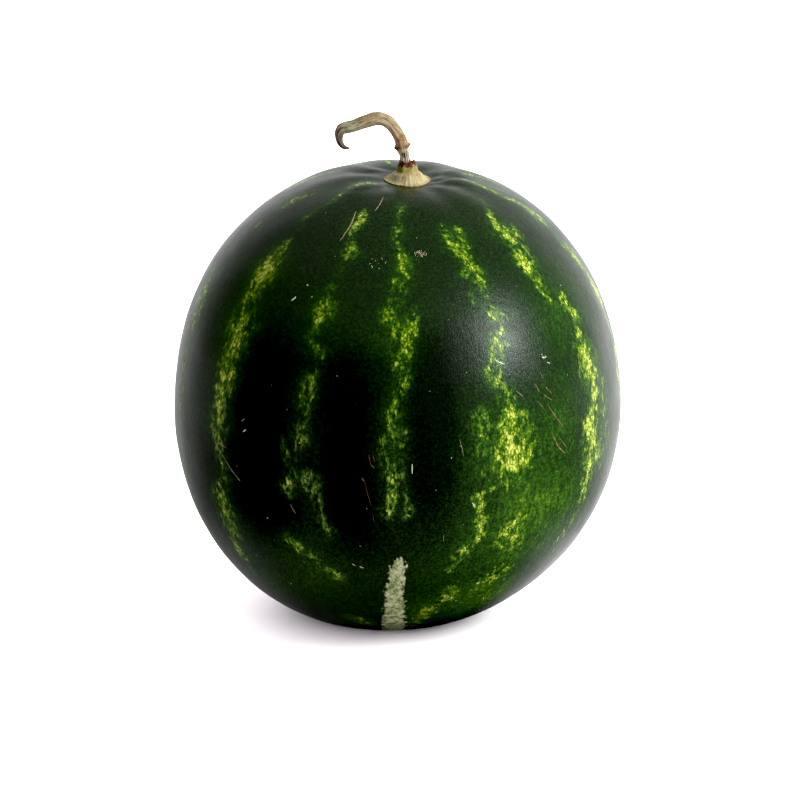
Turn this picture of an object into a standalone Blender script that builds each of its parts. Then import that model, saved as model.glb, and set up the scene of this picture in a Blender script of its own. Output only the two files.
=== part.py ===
"""Round watermelon that stands on its blossom end, with the dried stalk it was cut with.

Lengths are in metres and +Z is up. The origin is on the floor under the middle of the widest
ring, at the level of the flat spot that the fruit rests on. The stalk leans over towards -X, and
-Y is the front.
"""
import math

import bmesh
import bpy
from mathutils import Vector

# The fruit: a slightly tall ball, widest a little below the middle.
FRUIT_RADIUS = 0.125
CROWN_RISE = 0.137  # from the widest ring up to the crown
BLOSSOM_DROP = 0.127  # from the widest ring down to the blossom end, before it is flattened
UPPER_FULLNESS = 2.14  # superellipse exponents: 2 is an ellipse, more is squarer
LOWER_FULLNESS = 2.05
LOWER_BEND = 0.37  # the lower half drifts towards -X by this times the drop squared
FLAT_RADIUS = 0.047  # the flat spot under the blossom end
FRUIT_SEGMENTS = 72
FRUIT_RINGS = 46
RING_CROWDING = 0.45  # 0 spaces the rings evenly, more draws them together at the crown

# The shallow dimple that the stalk grows from, and the lobes that run down from it.
STALK_X = 0.0052
STALK_Y = -0.013
DIMPLE_DEPTH = 0.006
DIMPLE_RADIUS = 0.020
RIM_LIFT = 0.6  # share of the dimple's depth that the foot's rim lies above its bottom
LOBE_COUNT = 10
LOBE_DEPTH = 0.0006
LOBE_START = 0.012  # distance from the stalk at which the lobes begin to show
LOBE_FULL = 0.024  # distance at which they are full
LOBE_FADE = 0.0375  # distance at which they begin to fade
LOBE_END = 0.1  # distance at which they are gone

# The stalk: a flared foot with a domed stub on it, and a bent dry stalk that ends in a hook.
SEAT_GAP = 0.0003  # between the foot and the fruit
FOOT_BURIED = 0.006  # how far the foot's blank reaches down before the fruit is cut out of it
FOOT_SEGMENTS = 40
FOOT_PROFILE = (  # distance from the stalk's axis, height above the foot's rim
    (0.0029, 0.0100),
    (0.0037, 0.0094),
    (0.0049, 0.0072),
    (0.0056, 0.0045),
    (0.0061, 0.0031),
    (0.0076, 0.0019),
    (0.0100, 0.0010),
    (0.0126, 0.0003),
    (0.0133, -0.0003),
)
STALK_THICKNESS = 0.003  # the radius that the last column below multiplies
STALK_ROUTE = (  # offset from the stalk's axis in X and Y, height above the rim, thickness
    (-0.0011, 0.0000, 0.0060, 1.00),
    (-0.0014, 0.0000, 0.0109, 0.87),
    (-0.0024, 0.0001, 0.0161, 1.23),
    (-0.0037, 0.0003, 0.0207, 1.12),
    (-0.0063, 0.0007, 0.0257, 1.10),
    (-0.0106, 0.0012, 0.0303, 1.17),
    (-0.0160, 0.0015, 0.0326, 1.25),
    (-0.0224, 0.0014, 0.0309, 1.22),
    (-0.0291, 0.0010, 0.0283, 1.13),
    (-0.0340, 0.0004, 0.0267, 1.07),
    (-0.0368, -0.0002, 0.0246, 0.88),
    (-0.0374, -0.0008, 0.0212, 0.70),
    (-0.0364, -0.0013, 0.0182, 0.56),
    (-0.0342, -0.0016, 0.0163, 0.40),
    (-0.0318, -0.0018, 0.0159, 0.23),
)
STALK_STEPS = 3  # tube rings between two route points
TUBE_BEVEL = 3
CREASE_ANGLE = 40  # degrees above which an edge is sharp
WELD_DISTANCE = 0.00001


def flat_height():
    """Height of the flat spot above the blossom end that it cuts off."""
    share = (FLAT_RADIUS / FRUIT_RADIUS) ** LOWER_FULLNESS
    return BLOSSOM_DROP * (1 - (1 - share) ** (1 / LOWER_FULLNESS))


WIDEST_HEIGHT = BLOSSOM_DROP - flat_height()


def smooth_step(value, low, high):
    """0 below low, 1 above high, and an even slope between them."""
    share = min(max((value - low) / (high - low), 0.0), 1.0)
    return share * share * (3 - 2 * share)


def dent(x, y):
    """How far the dimple and the grooves between the lobes lower the upper skin at x, y."""
    distance = math.hypot(x - STALK_X, y - STALK_Y)
    dimple = DIMPLE_DEPTH * math.exp(-((distance / DIMPLE_RADIUS) ** 2))
    groove = 0.5 - 0.5 * math.cos(LOBE_COUNT * math.atan2(y - STALK_Y, x - STALK_X))
    shown = smooth_step(distance, LOBE_START, LOBE_FULL)
    shown *= 1 - smooth_step(distance, LOBE_FADE, LOBE_END)
    return dimple + LOBE_DEPTH * groove * shown


def skin_point(longitude, down):
    """Point of the skin at a longitude and an angle down from the crown."""
    upper = down < math.pi / 2
    fullness = UPPER_FULLNESS if upper else LOWER_FULLNESS
    radius = FRUIT_RADIUS * abs(math.sin(down)) ** (2 / fullness)
    rise = abs(math.cos(down)) ** (2 / fullness)
    x = radius * math.cos(longitude)
    y = radius * math.sin(longitude)
    if upper:
        return Vector((x, y, WIDEST_HEIGHT + CROWN_RISE * rise - dent(x, y)))
    drop = BLOSSOM_DROP * rise
    return Vector((x - LOWER_BEND * drop * drop, y, WIDEST_HEIGHT - drop))


def crown_height(x, y):
    """Height of the upper skin over the point x, y."""
    share = (math.hypot(x, y) / FRUIT_RADIUS) ** UPPER_FULLNESS
    return WIDEST_HEIGHT + CROWN_RISE * (1 - share) ** (1 / UPPER_FULLNESS) - dent(x, y)


def new_collection(name):
    collection = bpy.data.collections.new(name)
    bpy.context.scene.collection.children.link(collection)
    return collection


def new_object(name, data, collection):
    obj = bpy.data.objects.new(name, data)
    collection.objects.link(obj)
    return obj


def new_material(name, colour, roughness):
    material = bpy.data.materials.new(name)
    material.use_nodes = True
    shader = material.node_tree.nodes["Principled BSDF"]
    shader.inputs["Base Color"].default_value = (*colour, 1.0)
    shader.inputs["Roughness"].default_value = roughness
    shader.inputs["Metallic"].default_value = 0.0
    return material


def finish_mesh(mesh, material):
    mesh.materials.clear()
    mesh.materials.append(material)
    mesh.shade_smooth()
    mesh.set_sharp_from_angle(angle=math.radians(CREASE_ANGLE))


def make_fruit(collection):
    """A ball drawn out to the fruit's outline and cut off level where it rests."""
    bm = bmesh.new()
    bmesh.ops.create_uvsphere(
        bm, u_segments=FRUIT_SEGMENTS, v_segments=FRUIT_RINGS, radius=1.0
    )
    for vert in bm.verts:
        down = math.acos(min(max(vert.co.z, -1.0), 1.0))
        down *= 1 - RING_CROWDING + RING_CROWDING * down / math.pi
        vert.co = skin_point(math.atan2(vert.co.y, vert.co.x), down)
    everything = bm.verts[:] + bm.edges[:] + bm.faces[:]
    cut = bmesh.ops.bisect_plane(
        bm, geom=everything, plane_co=(0, 0, 0), plane_no=(0, 0, -1), clear_outer=True
    )
    rim = [part for part in cut["geom_cut"] if isinstance(part, bmesh.types.BMEdge)]
    bmesh.ops.contextual_create(bm, geom=rim)
    bmesh.ops.recalc_face_normals(bm, faces=bm.faces)
    mesh = bpy.data.meshes.new("fruit")
    bm.to_mesh(mesh)
    bm.free()
    finish_mesh(mesh, new_material("rind", (0.012, 0.035, 0.008), 0.32))
    return new_object("fruit", mesh, collection)


def evaluated_copy(obj, name, collection):
    """The object's final mesh as a plain object, with loose caps and seams welded."""
    bpy.context.view_layer.update()
    graph = bpy.context.evaluated_depsgraph_get()
    mesh = bpy.data.meshes.new_from_object(obj.evaluated_get(graph))
    mesh.name = name
    bm = bmesh.new()
    bm.from_mesh(mesh)
    bmesh.ops.remove_doubles(bm, verts=bm.verts, dist=WELD_DISTANCE)
    bmesh.ops.recalc_face_normals(bm, faces=bm.faces)
    bm.to_mesh(mesh)
    bm.free()
    copy = new_object(name, mesh, collection)
    copy.matrix_world = obj.matrix_world
    return copy


def make_foot_blank(collection):
    """The flared foot and its domed stub, turned about the stalk's axis."""
    points = [(0.0, FOOT_PROFILE[0][1]), *FOOT_PROFILE]
    points += [(FOOT_PROFILE[-1][0], -FOOT_BURIED), (0.0, -FOOT_BURIED)]
    mesh = bpy.data.meshes.new("foot_profile")
    edges = [(i, i + 1) for i in range(len(points) - 1)]
    mesh.from_pydata([(radius, 0.0, height) for radius, height in points], edges, [])
    profile = new_object("foot_profile", mesh, collection)
    screw = profile.modifiers.new("turn", "SCREW")
    screw.steps = FOOT_SEGMENTS
    screw.render_steps = FOOT_SEGMENTS
    screw.use_merge_vertices = True
    screw.merge_threshold = WELD_DISTANCE
    blank = evaluated_copy(profile, "stem", collection)
    bpy.data.objects.remove(profile)
    return blank


def make_stalk_tube(collection):
    """The bent stalk as a tube whose thickness changes along its route."""
    curve = bpy.data.curves.new("stalk_route", "CURVE")
    curve.dimensions = "3D"
    curve.bevel_depth = STALK_THICKNESS
    curve.bevel_resolution = TUBE_BEVEL
    curve.resolution_u = STALK_STEPS
    curve.use_fill_caps = True
    spline = curve.splines.new("BEZIER")
    spline.bezier_points.add(len(STALK_ROUTE) - 1)
    for point, (x, y, height, thickness) in zip(spline.bezier_points, STALK_ROUTE):
        point.co = (x, y, height)
        point.radius = thickness
        point.handle_left_type = "AUTO"
        point.handle_right_type = "AUTO"
    route = new_object("stalk_route", curve, collection)
    tube = evaluated_copy(route, "stalk_tube", collection)
    bpy.data.objects.remove(route)
    return tube


def hide_cutter(obj):
    obj.hide_render = True
    obj.display_type = "WIRE"


def add_boolean(obj, operation, other):
    modifier = obj.modifiers.new(operation.lower(), "BOOLEAN")
    modifier.operation = operation
    modifier.object = other


def make_stem(fruit, collection, cutters):
    """Foot, stub and stalk in one body, seated on the fruit's skin."""
    rim_height = crown_height(STALK_X, STALK_Y) + RIM_LIFT * DIMPLE_DEPTH
    stem = make_foot_blank(collection)
    tube = make_stalk_tube(cutters)
    stem.location = (STALK_X, STALK_Y, rim_height)
    tube.location = stem.location
    seat = new_object("fruit_seat", fruit.data.copy(), cutters)
    seat.location.z = SEAT_GAP
    hide_cutter(tube)
    hide_cutter(seat)
    add_boolean(stem, "UNION", tube)
    add_boolean(stem, "DIFFERENCE", seat)
    finish_mesh(stem.data, new_material("stalk", (0.42, 0.32, 0.13), 0.7))
    return stem


def main():
    for obj in list(bpy.data.objects):
        bpy.data.objects.remove(obj)
    watermelon = new_collection("watermelon")
    cutters = new_collection("cutters")
    fruit = make_fruit(watermelon)
    make_stem(fruit, watermelon, cutters)


main()
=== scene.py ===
"""The looks of the watermelon: its rind, stalk and skin marks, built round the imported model.

Lengths are in metres and +Z is up. -Y is the front, and longitudes are degrees from the front
towards +X. "Down" is the angle in degrees from the crown to a point of the skin.
"""
import math
import random

import bmesh
import bpy
import numpy as np
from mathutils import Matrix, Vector, noise


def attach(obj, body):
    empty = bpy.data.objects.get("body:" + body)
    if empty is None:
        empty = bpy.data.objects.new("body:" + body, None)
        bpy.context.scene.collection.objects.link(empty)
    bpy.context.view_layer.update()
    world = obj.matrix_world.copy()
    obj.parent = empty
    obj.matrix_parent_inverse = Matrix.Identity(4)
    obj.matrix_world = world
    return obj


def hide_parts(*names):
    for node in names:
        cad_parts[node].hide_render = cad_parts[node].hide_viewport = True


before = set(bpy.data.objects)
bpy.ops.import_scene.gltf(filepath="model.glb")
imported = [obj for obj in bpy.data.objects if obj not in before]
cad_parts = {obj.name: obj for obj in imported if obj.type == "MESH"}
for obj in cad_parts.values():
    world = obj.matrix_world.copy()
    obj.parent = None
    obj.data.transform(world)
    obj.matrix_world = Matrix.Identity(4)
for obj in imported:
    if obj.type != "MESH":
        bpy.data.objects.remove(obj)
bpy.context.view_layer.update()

# The fruit's form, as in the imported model.
FRUIT_RADIUS = 0.125
CROWN_RISE = 0.137  # from the widest ring up to the crown
BLOSSOM_DROP = 0.127  # from the widest ring down to the blossom end, before it is flattened
UPPER_FULLNESS = 2.14  # superellipse exponents
LOWER_FULLNESS = 2.05
LOWER_BEND = 0.37
FLAT_RADIUS = 0.047
STALK_X = 0.0052
STALK_Y = -0.013
DIMPLE_DEPTH = 0.006
DIMPLE_RADIUS = 0.020
RIM_LIFT = 0.6
LOBE_COUNT = 10
LOBE_DEPTH = 0.0006
LOBE_START = 0.012
LOBE_FULL = 0.024
LOBE_FADE = 0.0375
LOBE_END = 0.1
WIDEST_HEIGHT = BLOSSOM_DROP * (
    1 - (FLAT_RADIUS / FRUIT_RADIUS) ** LOWER_FULLNESS
) ** (1 / LOWER_FULLNESS)

POLE_X = 0.0057  # where the streaks' meridians meet, close to the stalk
POLE_Y = -0.008
SKIN_CUTS = 124  # quads along each edge of the cube that the skin is drawn from
SKIN_WAVE = 0.00035  # how far the skin waves in and out between its lobes
BROAD_WAVES = 22  # noise scales
FINE_WAVES = 55
CALM_HEIGHT = 0.002  # the skin waves from here up, and fully from the height after it
WAVED_HEIGHT = 0.02
EDGE_SOFTNESS = 0.0006  # rounds the edge of the flat spot
CREASE_COUNT = 9
CREASE_DEPTH = 0.0008
CREASE_START = 0.011  # distances from the stalk at which its creases start and are full
CREASE_FULL = 0.017
CREASE_FADE = 0.024  # and at which they begin to fade and are gone
CREASE_REACH = 0.045
SEED = 11


def smooth_step(value, low, high):
    share = np.clip((value - low) / (high - low), 0.0, 1.0)
    return share * share * (3 - 2 * share)


# ---------------------------------------------------------------- the skin's form


def dent(x, y):
    """How far the dimple and the grooves between the lobes lower the upper skin."""
    distance = np.hypot(x - STALK_X, y - STALK_Y)
    angle = np.arctan2(y - STALK_Y, x - STALK_X)
    dimple = DIMPLE_DEPTH * np.exp(-((distance / DIMPLE_RADIUS) ** 2))
    groove = 0.5 - 0.5 * np.cos(LOBE_COUNT * angle)
    shown = smooth_step(distance, LOBE_START, LOBE_FULL)
    shown = shown * (1 - smooth_step(distance, LOBE_FADE, LOBE_END))
    return dimple + LOBE_DEPTH * groove * shown


def crown_height(x, y):
    """Height of the upper skin over x, y."""
    share = np.clip(np.hypot(x, y) / FRUIT_RADIUS, 0, 1) ** UPPER_FULLNESS
    rise = CROWN_RISE * (1 - share) ** (1 / UPPER_FULLNESS)
    return WIDEST_HEIGHT + rise - dent(x, y)


def skin_points(longitude, down):
    """Points of the skin at longitudes and down angles, in degrees. Meridians meet at the pole."""
    lon = np.radians(longitude)
    angle = np.radians(down)
    upper = angle < math.pi / 2
    fullness = np.where(upper, UPPER_FULLNESS, LOWER_FULLNESS)
    radius = FRUIT_RADIUS * np.abs(np.sin(angle)) ** (2 / fullness)
    drop = BLOSSOM_DROP * np.abs(np.cos(angle)) ** (2 / fullness)
    pull = np.where(upper, np.abs(np.cos(angle)) ** 3, 0.0)
    x = radius * np.sin(lon) + POLE_X * pull
    y = -radius * np.cos(lon) + POLE_Y * pull
    z = np.where(upper, crown_height(x, y), WIDEST_HEIGHT - drop)
    x = np.where(upper, x, x - LOWER_BEND * drop * drop)
    z = 0.5 * (z + np.sqrt(z * z + EDGE_SOFTNESS**2))
    return np.stack([x, y, z], axis=-1)


def creases(points):
    """Irregular folds of the skin that run out from the stalk's foot, as a depth."""
    x, y = points[:, 0] - STALK_X, points[:, 1] - STALK_Y
    distance = np.hypot(x, y)
    angle = np.arctan2(y, x) + 0.25 * np.sin(distance * 160)
    folds = np.abs(np.sin(CREASE_COUNT / 2 * angle + 0.8 * np.sin(3 * angle))) ** 0.6
    folds = folds * (0.65 + 0.35 * np.sin(2 * angle + 1.0))
    shown = smooth_step(distance, CREASE_START, CREASE_FULL)
    shown = shown * (1 - smooth_step(distance, CREASE_FADE, CREASE_REACH))
    return CREASE_DEPTH * (1 - folds) * shown * (points[:, 2] > WIDEST_HEIGHT)


def waved_skin(longitude, down):
    """The skin with its small waves and with the creases round the stalk."""
    points = skin_points(longitude, down)
    turn, lean = np.radians(longitude), np.radians(down)
    outward = np.stack([np.sin(turn) * np.sin(lean), -np.cos(turn) * np.sin(lean), np.cos(lean)],
                       axis=-1)
    wave = np.array([noise.noise(place * BROAD_WAVES) + 0.5 * noise.noise(place * FINE_WAVES)
                     for place in map(Vector, points)])
    fade = smooth_step(points[:, 2], CALM_HEIGHT, WAVED_HEIGHT)
    return points + outward * (SKIN_WAVE * wave * fade - creases(points))[:, None]


# ---------------------------------------------------------------- the rind's pattern

# Each streak runs down the skin: down angle, longitude, half width in mm, share of pale cells. Low
# on the front, the shares of the middle streaks and of those left of the middle are partly painted
# shade: lowered where the skin gets little light.
STREAKS = [
    # left edge
    [(52, -81, 3, 0.0), (56, -80, 5, 0.5), (61, -78, 6, 0.6), (66, -76, 6, 0.45),
     (72, -75, 5, 0.2), (78, -75, 6, 0.3), (100, -75, 6, 0.3), (115, -74, 7, 0.3),
     (125, -74, 6, 0.2), (140, -74, 5, 0.05)],
    [(20, -68, 1.0, 0.0), (23, -72, 1.6, 0.5), (27, -74, 2.2, 0.6), (31, -75, 2.2, 0.45),
     (36, -75, 2, 0.15), (40, -76, 2.2, 0.35), (44, -77, 2, 0.1)],
    # left
    [(7, -35, 0.6, 0.1), (9, -45, 0.9, 0.6), (11, -52, 1.2, 0.85), (14, -56, 1.2, 0.8),
     (17, -54, 1.2, 0.5), (20, -51, 1.3, 0.35), (23, -50, 1.5, 0.6), (25, -51, 1.2, 0.3),
     (28, -53, 2, 0.3), (32, -53, 2.2, 0.25), (36, -50, 2, 0.1)],
    [(38, -50, 1.5, 0.2), (41, -50, 2.5, 0.55), (44, -50, 3.5, 0.65), (47, -50, 4.6, 0.9),
     (50, -50, 4.6, 1.0), (53, -50, 3.6, 0.8), (57, -50, 3.6, 0.6), (60, -50, 5, 0.6),
     (62, -49, 6.5, 0.65), (66, -50, 6, 0.8), (69, -49, 5.5, 0.85), (72, -51, 5, 0.7),
     (75, -50.5, 5.5, 0.75), (79, -51, 5, 0.65), (82, -51, 4.5, 0.6), (86, -52, 5.5, 0.65),
     (89, -52, 4.5, 0.5), (92, -52, 3, 0.35), (96, -50, 3, 0.3), (99, -50, 4, 0.35),
     (104, -54, 5, 0.5), (108, -52, 6, 0.5), (113, -52, 5.5, 0.45), (117, -52, 4, 0.4),
     (121, -53, 4, 0.5), (125, -52, 3, 0.25), (132, -52, 3, 0.1)],
    # left of the middle
    [(23, -25, 1, 0.2), (26, -24, 2, 0.75), (29, -24, 2.2, 0.85), (32, -25, 2, 0.6),
     (34, -23, 1.4, 0.3), (37, -21, 2.2, 0.5), (39.5, -20.5, 2.5, 0.7), (42, -21, 1.5, 0.2),
     (47, -22, 2, 0.1), (52, -23, 3, 0.3), (55, -23, 3.5, 0.7), (58, -23, 3.5, 0.65),
     (60, -24, 2.5, 0.24), (63, -26, 3, 0.28), (66, -21, 3, 0.48), (69, -21, 2.2, 0.16),
     (73, -23.5, 3.5, 0.36), (77, -24, 4.2, 0.44), (81, -24, 3, 0.28), (84, -25, 3.5, 0.48),
     (87, -25, 3.5, 0.48), (89, -27, 2.5, 0.24), (92, -28, 2.5, 0.28), (95, -26, 4, 0.24)],
    [(86, -29.5, 1.6, 0.24), (89, -29, 1.8, 0.4), (93, -28, 2, 0.24), (96, -28.5, 3, 0.44),
     (99, -29, 2.5, 0.48), (101, -28, 1.5, 0.16)],
    [(92, -23, 3, 0.16), (94, -23, 5, 0.48), (97, -23, 5, 0.52), (99, -21, 2.5, 0.4),
     (103, -20, 2, 0.4), (106, -19.5, 2.2, 0.28), (109, -18, 4, 0.24), (112, -18, 2, 0.08)],
    [(110, -31, 3, 0.08), (113, -30, 4, 0.45), (115, -27, 5, 0.55), (117, -25, 4, 0.45),
     (119, -23, 3, 0.25), (121, -20, 4, 0.42), (123, -17, 3.5, 0.4), (126, -16, 2, 0.12)],
    [(141, -18, 2, 0.1), (144, -15, 4, 0.5), (147, -12, 4, 0.5), (151, -10, 3, 0.2)],
    # middle
    [(17, -4, 1, 0.2), (21, -3.5, 1.6, 0.4), (25, -3.5, 1.4, 0.25), (30, -3, 2, 0.4),
     (34, -3, 2, 0.3), (37, -1, 1.5, 0.3), (39, 0.5, 2.2, 0.85), (42, 0.5, 2.2, 0.8),
     (45, 0.5, 2.6, 0.5), (48, 0, 2.6, 0.4), (52, 0, 2.5, 0.2), (55, 1, 2.2, 0.3),
     (58, 2, 1.8, 0.7), (61, 2, 2.2, 0.6), (65, 2, 2.6, 0.68), (68, 1, 2.8, 0.48),
     (72, 1.5, 2.6, 0.48), (75, 0, 2.6, 0.32), (79, -1.5, 3, 0.48), (83, -1.5, 3.2, 0.48),
     (87, -3, 3.6, 0.44), (90, -2, 3.5, 0.36), (95, -1, 2.8, 0.52), (99, -1, 2.6, 0.52),
     (102, -2.5, 3.2, 0.4), (105, -2, 2, 0.08)],
    [(44, -1.5, 1, 0.2), (46, -2, 1.8, 0.6), (48, -2, 1.5, 0.3), (52, -3.5, 1.8, 0.3),
     (55, -3.5, 2.5, 0.65), (58, -2.5, 3, 0.7), (60, -1.5, 2.5, 0.32), (64, -1, 1.5, 0.24),
     (67, -0.5, 2, 0.4), (70, -0.5, 2, 0.24)],
    [(53, 4.5, 1, 0.2), (56, 4.5, 1.5, 0.55), (59, 4.5, 1.6, 0.6), (62, 4.5, 1, 0.16)],
    [(82, 2, 1.2, 0.16), (85, 1.5, 1.7, 0.44), (88, 1, 1.5, 0.24), (92, 1, 1.7, 0.4),
     (96, 2, 1.4, 0.24), (101, 2.5, 2, 0.56), (103, 2.3, 2, 0.48), (105, 2, 1, 0.08)],
    # right of the middle
    [(27, 19, 1.2, 0.1), (30, 19.5, 1.7, 0.45), (33, 20, 1.9, 0.7), (36, 21.5, 2.4, 0.9),
     (38, 22.5, 2, 0.6), (41, 25, 2.2, 0.75), (44, 27, 2.5, 0.85), (47, 28, 2.2, 0.5),
     (50, 28, 3, 0.3), (54, 28, 3.5, 0.3), (56.5, 30, 5, 0.55), (58, 31, 5, 0.5),
     (60, 30, 3, 0.3), (62, 28.5, 3.5, 0.8), (65, 29, 3.8, 0.95), (67, 28, 3, 0.6),
     (69.5, 26, 3.5, 0.55), (72, 26, 3.5, 0.55), (75, 28, 4, 0.45), (79, 29, 4, 0.6),
     (82, 29.5, 6.5, 0.85), (85, 30, 8, 0.85), (88, 30, 9, 0.95), (91, 30, 9, 1.0),
     (93, 30.5, 8, 1.0), (95, 30, 5, 0.6), (97, 29, 5, 0.6), (99, 27, 3, 0.2)],
    [(28, 26, 1.2, 0.2), (30, 27, 1.7, 0.6), (33, 26, 1.6, 0.5), (36, 26, 2, 0.85),
     (38, 26, 1.6, 0.5), (40, 27, 1.3, 0.3)],
    [(43, 22, 1.3, 0.2), (45, 22.5, 2.2, 0.6), (46.5, 24.5, 2, 0.4), (48, 25, 1.6, 0.2),
     (51, 23, 2, 0.3), (54, 23, 1.6, 0.15)],
    [(78, 21, 3, 0.1), (81, 21.5, 4, 0.4), (84, 22, 4.5, 0.45), (88, 22, 3.5, 0.35),
     (93, 22, 3, 0.25), (97, 25, 3, 0.35), (99, 20.5, 2.5, 0.75), (101, 21.5, 2.8, 0.85),
     (103, 22, 2.2, 0.5), (105, 22.5, 2.8, 0.8), (108, 23, 3, 0.6), (111, 23, 3, 0.6),
     (113, 19.5, 4, 0.6), (116, 18, 3.5, 0.5), (119, 17, 2.5, 0.25), (122, 16, 3, 0.3)],
    [(103, 39, 2, 0.2), (105, 37, 4, 0.65), (107, 34, 5, 0.7), (109, 32.5, 5.5, 0.9),
     (111, 32, 5, 0.75), (113, 33, 7, 0.7), (115, 33, 6, 0.65), (117, 34, 3, 0.3),
     (120, 34, 3, 0.3), (123, 34, 5, 0.7), (126, 32, 5.5, 0.65), (129, 29, 5, 0.6),
     (132, 27, 4, 0.4), (136, 26, 3, 0.15)],
    [(125, 20, 3, 0.15), (128, 20, 5, 0.5), (131, 19, 5, 0.5), (134, 19, 4, 0.4),
     (137, 15, 4, 0.45), (140, 13.5, 5, 0.7), (143, 13, 4, 0.6), (147, 12, 4, 0.4),
     (152, 12, 3, 0.2)],
    # right
    [(20, 62, 1.1, 0.2), (25, 54, 1.4, 0.4), (28, 50, 2, 0.8), (31, 49.5, 3, 0.95),
     (34, 50, 3.6, 0.95), (37, 50, 3, 0.8), (39, 49, 1.7, 0.5), (41, 48, 2.2, 0.95),
     (44, 48, 3, 1.0), (46, 48.5, 2.4, 0.9), (48, 50, 2.6, 0.7), (51, 50.5, 2.8, 0.65),
     (54, 51, 2.5, 0.55), (57, 52, 2.5, 0.3), (60, 53, 2, 0.15)],
    [(28, 55, 2, 0.2), (33, 56, 3, 0.45), (37, 55, 2.5, 0.35), (42, 53, 2.5, 0.45),
     (46, 53.5, 2.5, 0.4), (50, 54, 2, 0.2)],
    [(54, 58, 1.6, 0.2), (57, 57.5, 2.5, 0.75), (59.5, 58, 2.8, 0.8), (62, 60, 3, 0.8),
     (64, 61, 2.6, 0.6), (67, 59, 4, 0.7), (70, 59, 5, 0.75), (73, 60, 6, 0.8),
     (77, 60, 6, 0.85), (81, 61, 4.5, 0.85), (84, 60, 4.5, 0.8), (87, 57.5, 5, 0.95),
     (90, 58, 5, 0.9), (94, 59, 7, 0.85), (96, 60, 7.5, 0.85), (99, 58.5, 4.5, 0.7),
     (102, 58, 4, 0.55), (107, 58, 4, 0.4), (112, 56, 4, 0.35), (116, 55, 4.5, 0.5),
     (119, 54, 3.5, 0.4), (124, 55, 3, 0.2), (132, 56, 3, 0.1)],
    [(78, 66, 3, 0.3), (86, 66, 4, 0.35), (94, 66, 5, 0.4), (100, 66, 3, 0.2)],
]
# The one cream streak, low in front.
CREAM_STREAK = [
    (115, 1.5, 2, 0.3), (117, 1, 2.8, 0.9), (120, 0.8, 3.4, 1.0), (125, 0.5, 3.5, 1.0),
    (128, 0, 4, 1.0), (131, 0.8, 3.7, 1.0), (135, 0.8, 4.4, 1.0), (150, 2, 4.6, 1.0),
    (165, 3, 4.4, 1.0),
]
# Streaks on the sides and back grow by rule, a streak's spacing apart.
BACK_LONGITUDES = (84, 109, 132, 156, 181, 204, 229, 255)
GROWN_TOP = 9  # down angle at which the first of them can start
GROWN_END = 142
GROWN_SWAY = 2.5  # degrees to either side
NARROWEST = 1.5  # half widths in mm
WIDEST = 7.0
EDGE_FALL = 0.42  # how fast a streak fades past its half width
HALO_WIDTH = 1.6  # the green halo of a streak, against the streak
HALO_STRENGTH = 0.9
# Broad areas of lighter green: longitude, down angle, radius in mm, strength.
GREEN_AREAS = [
    (40, 108, 42, 0.9), (30, 92, 30, 0.7), (46, 88, 30, 0.5), (55, 60, 26, 0.5),
    (24, 120, 30, 0.4), (-23, 85, 16, 0.25), (0, 62, 16, 0.35), (95, 110, 40, 0.5),
    (150, 95, 45, 0.5), (215, 105, 45, 0.5), (-100, 80, 35, 0.4), (180, 60, 30, 0.4),
    (34, 134, 26, 1.0), (14, 138, 20, 0.5), (-26, 122, 22, 0.35), (-45, 130, 20, 0.35),
]
# Upright bands of painted shade, where the ground between the streaks is darkened almost to black:
# three low on the front, where the skin gets little light, and three like them on the back; as
# knots like the streaks'.
PAINTED_SHADE_BANDS = [
    [(54, 9, 8, 0.0), (62, 9, 11, 0.8), (75, 9, 13, 1.0), (95, 9, 14, 1.0), (110, 8, 12, 0.4),
     (120, 8, 10, 0.0)],
    [(60, -14, 12, 0.0), (68, -13, 16, 0.9), (80, -13, 17, 1.0), (100, -12, 17, 1.0),
     (112, -11, 14, 0.6), (122, -11, 12, 0.0)],
    [(56, -37, 14, 0.0), (68, -37, 18, 0.9), (85, -38, 20, 1.0), (105, -38, 20, 1.0),
     (116, -40, 14, 0.4), (122, -40, 12, 0.0)],
    [(50, 121, 12, 0.0), (70, 121, 14, 0.8), (100, 121, 14, 0.8), (125, 121, 12, 0.0)],
    [(55, 169, 12, 0.0), (75, 169, 15, 0.8), (105, 169, 15, 0.7), (125, 169, 12, 0.0)],
    [(50, 217, 12, 0.0), (70, 217, 15, 0.8), (105, 217, 15, 0.8), (125, 217, 12, 0.0)],
]


def grown_streak(longitude, dice):
    """A broken streak like the front ones, for a side that the front doesn't show."""
    knots = []
    down = GROWN_TOP * (1 + dice.random())
    while down < GROWN_END:
        strong = dice.random()
        middle = longitude + dice.uniform(-GROWN_SWAY, GROWN_SWAY)
        spare = (WIDEST - NARROWEST) * dice.random() * min(1.0, down / 70)
        width = min(1.0, down / 30) * (NARROWEST + spare)
        knots.append((down, middle, width, 0.12 + 0.88 * strong**0.8))
        down += dice.uniform(3.5, 7.5)
    knots.append((down, longitude, 2, 0.0))
    return knots


def streak_mask(knots, longitude, down, widen=1.0):
    """Strength of one streak at each vertex: full in its middle and none past its edge."""
    downs, middles, widths, strengths = (np.array(column, float) for column in zip(*knots))
    middle = np.interp(down, downs, middles)
    width = np.interp(down, downs, widths) * 0.001 * widen
    strength = np.interp(down, downs, strengths, left=0.0, right=0.0)
    turn = (longitude - middle + 180) % 360 - 180
    across = np.abs(np.radians(turn)) * FRUIT_RADIUS * np.sin(np.radians(down))
    return strength * np.exp(-((across / width) ** 2) * EDGE_FALL)


def area_mask(area, longitude, down):
    """Strength of a soft round area at each vertex."""
    at, low, reach, strength = area
    turn = np.radians((longitude - at + 180) % 360 - 180)
    aside = turn * np.sin(np.radians(down)) * FRUIT_RADIUS
    along = np.radians(down - low) * FRUIT_RADIUS
    far = np.hypot(aside, along) / (0.001 * reach)
    return strength * np.exp(-(far**2))


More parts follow.
